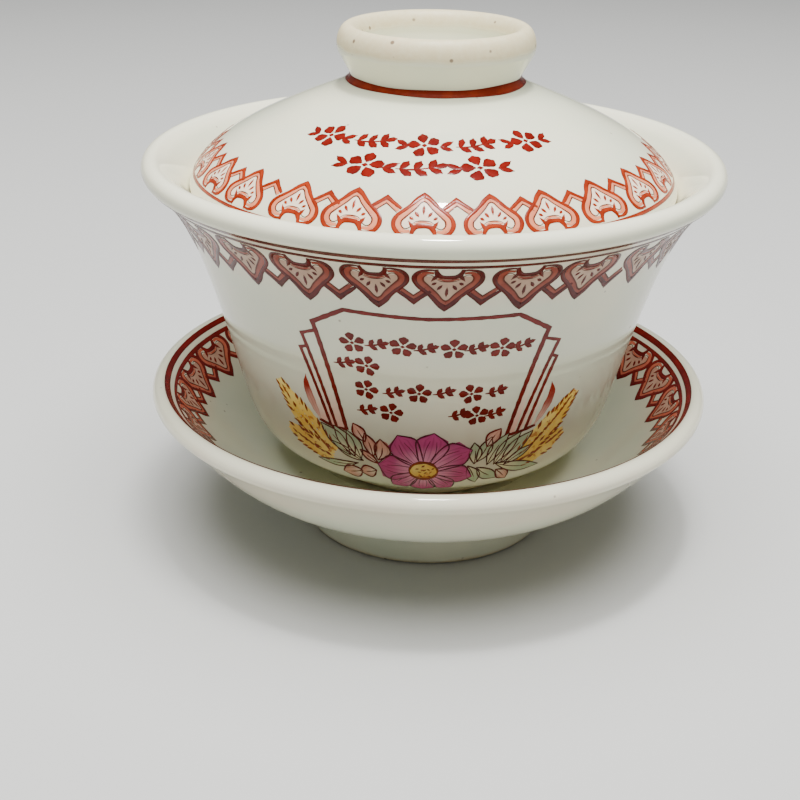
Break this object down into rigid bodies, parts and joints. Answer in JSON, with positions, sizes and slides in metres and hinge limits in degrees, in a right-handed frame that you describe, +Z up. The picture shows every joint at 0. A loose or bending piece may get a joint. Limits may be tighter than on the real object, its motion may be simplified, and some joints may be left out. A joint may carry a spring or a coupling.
{
  "type": "gaiwan",
  "caption": "Glazed porcelain gaiwan: a flared tea cup with a domed, ring-knobbed lid and a footed saucer.",
  "frame": {"origin": "centre of the saucer's foot, on the plane it stands on", "axes": "+Z up along the axis that all three pieces are turned about; -Y towards the cup's painted flower panel"},
  "size_m": [0.106, 0.106, 0.0955],
  "materials": {
    "saucer_glaze": "glossy pale grey-green white glaze, iron-red painted border, bare foot rim",
    "cup_glaze": "glossy pale grey-green white glaze with iron-red border and enamel flower panel",
    "lid_glaze": "glossy pale grey-green white glaze, iron-red painted border, bare bead on the knob"
  },
  "bodies": {
    "saucer": {"saucer": "saucer_glaze"},
    "cup": {"cup": "cup_glaze"},
    "lid": {"lid": "lid_glaze"}
  },
  "joints": [
    {"name": "cup_lift", "type": "slide", "parent": "saucer", "child": "cup", "axis": [0, 0, 1], "range_m": [0, 0.05]},
    {"name": "lid_lift", "type": "slide", "parent": "cup", "child": "lid", "axis": [0, 0, 1], "range_m": [0, 0.05]}
  ]
}
